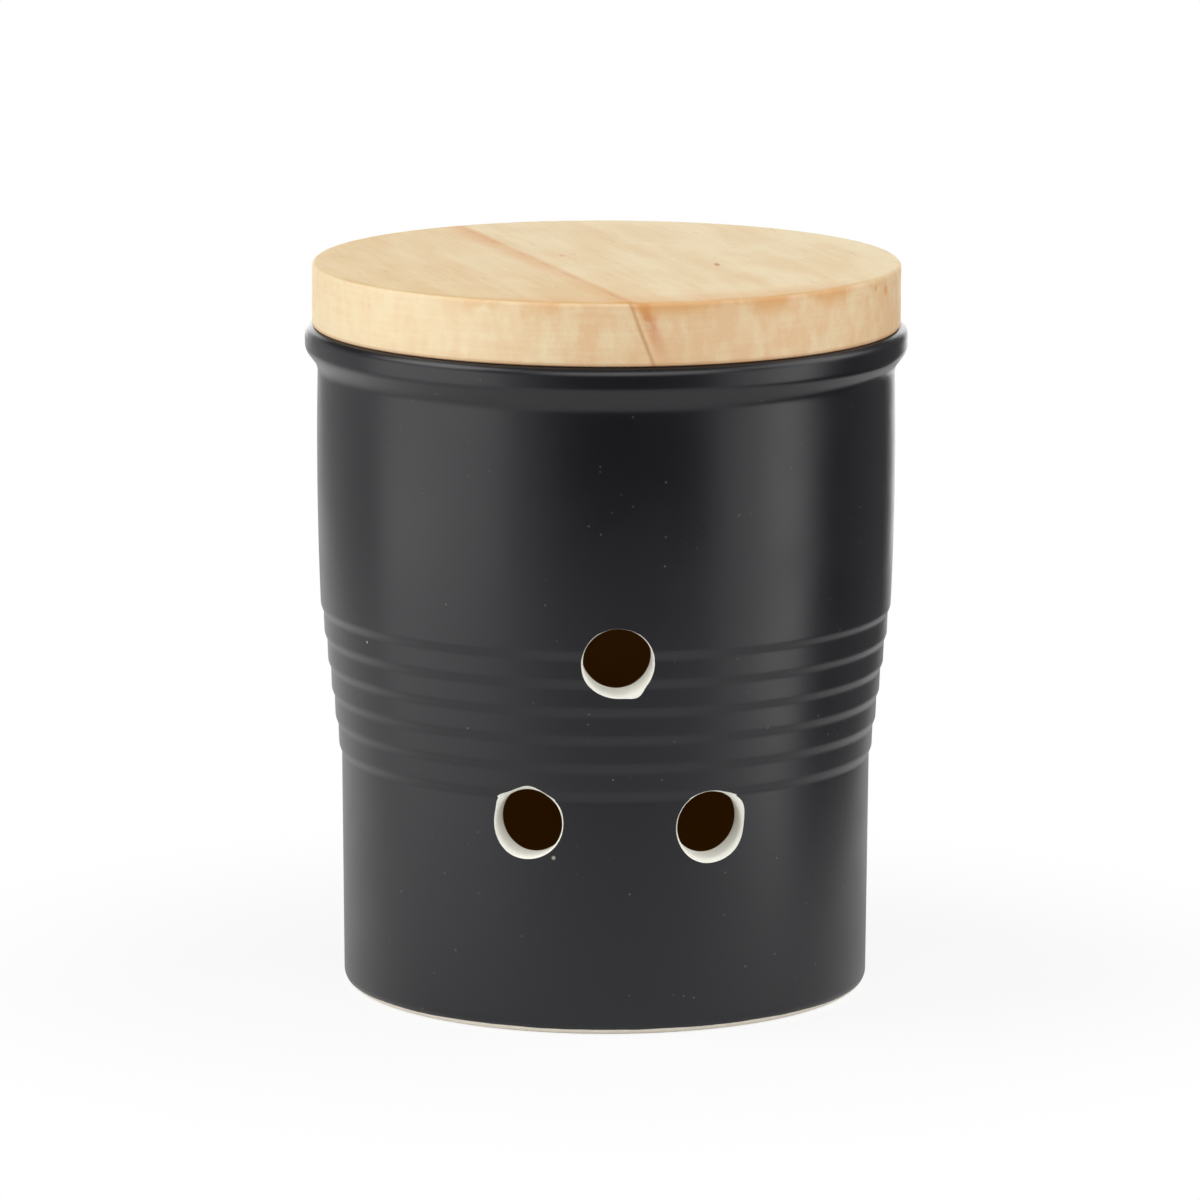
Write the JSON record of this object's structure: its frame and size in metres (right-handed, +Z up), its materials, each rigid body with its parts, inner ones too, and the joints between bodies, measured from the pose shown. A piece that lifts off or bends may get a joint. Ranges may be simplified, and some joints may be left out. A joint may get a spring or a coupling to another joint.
{
  "type": "garlic keeper",
  "caption": "Round stoneware garlic keeper with a rolled rim, a stepped band that tapers to the body, open air vents in the wall, and a lift-off wooden lid with a soft seal.",
  "frame": {"origin": "on the resting plane, at the jar's axis", "axes": "+Z up along the jar's axis, -Y towards the side with the vents, +X to the right of someone facing the vents"},
  "size_m": [0.12, 0.12, 0.146],
  "materials": {
    "glaze": "satin",
    "lid_wood": "oiled",
    "seal_silicone": "matte"
  },
  "bodies": {
    "jar": {"jar": "glaze"},
    "seal": {"lid_seal": "seal_silicone"},
    "lid": {"lid_top": "lid_wood", "lid_plug": "lid_wood"}
  },
  "joints": [
    {"name": "lid_lift", "type": "slide", "parent": "jar", "child": "seal", "axis": [0, 0, 1], "range_m": [0, 0.08]},
    {"name": "lid_turn", "type": "hinge", "parent": "seal", "child": "lid", "pos_m": [0, 0, 0.1335], "axis": [0, 0, 1], "continuous": true}
  ]
}
